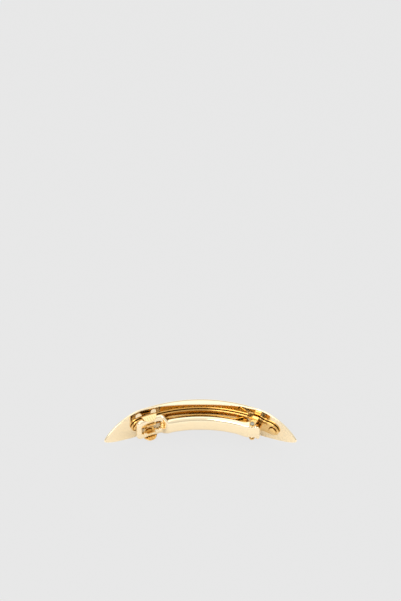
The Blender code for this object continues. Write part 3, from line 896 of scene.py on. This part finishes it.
def polished_gold(name, colours, roughness, grain_stretch=(1, 1, 1)):
    """Gold plating: slight colour drift, uneven polish and fine lengthwise hairlines."""
    material = bpy.data.materials.new(name)
    material.use_nodes = True
    nodes, links = material.node_tree.nodes, material.node_tree.links
    shader = nodes["Principled BSDF"]
    shader.inputs["Metallic"].default_value = 1.0
    shader.inputs["Specular IOR Level"].default_value = 0.5
    where = nodes.new("ShaderNodeTexCoord")

    drift = nodes.new("ShaderNodeTexNoise")
    drift.inputs["Scale"].default_value = DRIFT_SCALE
    drift.inputs["Detail"].default_value = 4.0
    tint = nodes.new("ShaderNodeMix")
    tint.data_type = "RGBA"
    tint.inputs["A"].default_value = (*colours[0], 1)
    tint.inputs["B"].default_value = (*colours[1], 1)
    links.new(where.outputs["Object"], drift.inputs["Vector"])
    links.new(drift.outputs["Fac"], tint.inputs["Factor"])
    links.new(tint.outputs["Result"], shader.inputs["Base Color"])

    polish = nodes.new("ShaderNodeTexNoise")
    polish.inputs["Scale"].default_value = POLISH_SCALE
    polish.inputs["Detail"].default_value = 6.0
    spread = nodes.new("ShaderNodeMapRange")
    spread.inputs["From Min"].default_value = 0.3
    spread.inputs["From Max"].default_value = 0.7
    spread.inputs["To Min"].default_value = roughness * 0.6
    spread.inputs["To Max"].default_value = roughness * 1.5
    links.new(where.outputs["Object"], polish.inputs["Vector"])
    links.new(polish.outputs["Fac"], spread.inputs["Value"])
    links.new(spread.outputs["Result"], shader.inputs["Roughness"])

    stretch = nodes.new("ShaderNodeMapping")
    stretch.inputs["Scale"].default_value = grain_stretch
    hairlines = nodes.new("ShaderNodeTexNoise")
    hairlines.inputs["Scale"].default_value = HAIRLINE_SCALE
    hairlines.inputs["Detail"].default_value = 3.0
    relief = nodes.new("ShaderNodeBump")
    relief.inputs["Strength"].default_value = HAIRLINE_STRENGTH
    relief.inputs["Distance"].default_value = HAIRLINE_DEPTH
    links.new(where.outputs["Object"], stretch.inputs["Vector"])
    links.new(stretch.outputs["Vector"], hairlines.inputs["Vector"])
    links.new(hairlines.outputs["Fac"], relief.inputs["Height"])
    links.new(relief.outputs["Normal"], shader.inputs["Normal"])
    return material


def floor_material():
    """Pale floor: an even tone to the camera, and lit by the studio in the gold's reflections."""
    material = bpy.data.materials.new("pale_floor")
    material.use_nodes = True
    nodes, links = material.node_tree.nodes, material.node_tree.links
    nodes.clear()
    output = nodes.new("ShaderNodeOutputMaterial")
    matt = nodes.new("ShaderNodeBsdfDiffuse")
    matt.inputs["Color"].default_value = (FLOOR_COLOUR, FLOOR_COLOUR, FLOOR_COLOUR, 1)
    even = nodes.new("ShaderNodeEmission")
    even.inputs["Color"].default_value = (FLOOR_SEEN, FLOOR_SEEN, FLOOR_SEEN, 1)
    path = nodes.new("ShaderNodeLightPath")
    share = nodes.new("ShaderNodeMath")
    share.operation = "MULTIPLY"
    share.inputs[1].default_value = FLOOR_EVENNESS
    mix = nodes.new("ShaderNodeMixShader")
    links.new(path.outputs["Is Camera Ray"], share.inputs[0])
    links.new(share.outputs["Value"], mix.inputs["Fac"])
    links.new(matt.outputs["BSDF"], mix.inputs[1])
    links.new(even.outputs["Emission"], mix.inputs[2])
    links.new(mix.outputs["Shader"], output.inputs["Surface"])
    return material


# Studio


def build_floor():
    bm = bmesh.new()
    bmesh.ops.create_grid(bm, x_segments=1, y_segments=1, size=FLOOR_HALF_SIZE)
    mesh = bpy.data.meshes.new("floor")
    bm.to_mesh(mesh)
    bm.free()
    floor = bpy.data.objects.new("floor", mesh)
    bpy.context.scene.collection.objects.link(floor)
    floor.location.z = CAD_LOW.z
    mesh.materials.append(floor_material())


def add_softbox(name, position, size, power):
    """Rectangular area light aimed at the clip."""
    light = bpy.data.lights.new(name, "AREA")
    light.shape = "RECTANGLE"
    light.size, light.size_y = size
    light.energy = power
    lamp = bpy.data.objects.new(name, light)
    lamp.location = position
    lamp.rotation_euler = (-Vector(position)).to_track_quat("-Z", "Y").to_euler()
    bpy.context.scene.collection.objects.link(lamp)


def build_world():
    """Soft studio surround, dimmer at the horizon than overhead."""
    world = bpy.data.worlds.new("studio")
    world.use_nodes = True
    bpy.context.scene.world = world
    nodes, links = world.node_tree.nodes, world.node_tree.links
    background = nodes["Background"]
    background.inputs["Color"].default_value = (1, 1, 1, 1)
    where = nodes.new("ShaderNodeTexCoord")
    direction = nodes.new("ShaderNodeSeparateXYZ")
    rise = nodes.new("ShaderNodeMapRange")
    rise.interpolation_type = "SMOOTHSTEP"
    rise.inputs["From Min"].default_value = 0.0
    rise.inputs["From Max"].default_value = 0.8
    rise.inputs["To Min"].default_value = HORIZON_STRENGTH
    rise.inputs["To Max"].default_value = ZENITH_STRENGTH
    links.new(where.outputs["Generated"], direction.inputs["Vector"])
    links.new(direction.outputs["Z"], rise.inputs["Value"])
    links.new(rise.outputs["Result"], background.inputs["Strength"])


def build_lights():
    add_softbox("overhead_softbox", *OVERHEAD)
    add_softbox("key_softbox", *KEY)


def build_camera():
    elevation = math.radians(VIEW_ELEVATION)
    towards = Vector((0, math.cos(elevation), -math.sin(elevation)))
    up = Vector((0, math.sin(elevation), math.cos(elevation)))
    aim = place(0, 0, 0) + up * AIM_ABOVE_CROWN
    data = bpy.data.cameras.new("camera")
    data.lens = LENS_MM
    data.sensor_width = SENSOR_MM
    distance = FRAME_HEIGHT * LENS_MM / SENSOR_MM
    data.clip_start, data.clip_end = distance / 100, distance * 100
    camera = bpy.data.objects.new("camera", data)
    camera.location = aim - towards * distance
    camera.rotation_mode = "QUATERNION"
    camera.rotation_quaternion = towards.to_track_quat("-Z", "Y")
    bpy.context.scene.collection.objects.link(camera)
    bpy.context.scene.camera = camera


build_camera()
bpy.context.scene.view_settings.view_transform = "Standard"
# One plated gold in lit and shaded copies: painted light on the plate and arm, painted shade on the catch,
# base, studs and spring strip
GOLD_PLATE = polished_gold("plate_gold_lit", LIT_PLATING_GOLD, 0.05)
GOLD_ARM = polished_gold("arm_gold_lit", LIT_PLATING_GOLD, 0.06, LENGTHWISE)
GOLD_BASE_SHADED = polished_gold("base_gold_painted_shade", BASE_SHADE_GOLD, 0.08, LENGTHWISE)
GOLD_SMALL_SHADED = polished_gold("small_gold_painted_shade", BASE_SHADE_GOLD, 0.10)
GOLD_CATCH_HALF_SHADED = polished_gold("catch_gold_painted_half_shade", CATCH_HALF_SHADE_GOLD, 0.10)
PIN_STEEL = polished_gold("pin_steel_fine", PIN_METAL, 0.14)
GOLD_SPRING_DEEP_SHADED = polished_gold("spring_gold_painted_deep_shade", STRIP_DEEP_SHADE_GOLD, 0.10, LENGTHWISE)
build_plate()
build_base()
build_studs()
build_hinge_pin()
build_arm()
build_bow()
build_catch_plate()
build_catch_rivet()
build_catch_ears()
build_floor()
build_world()
build_lights()
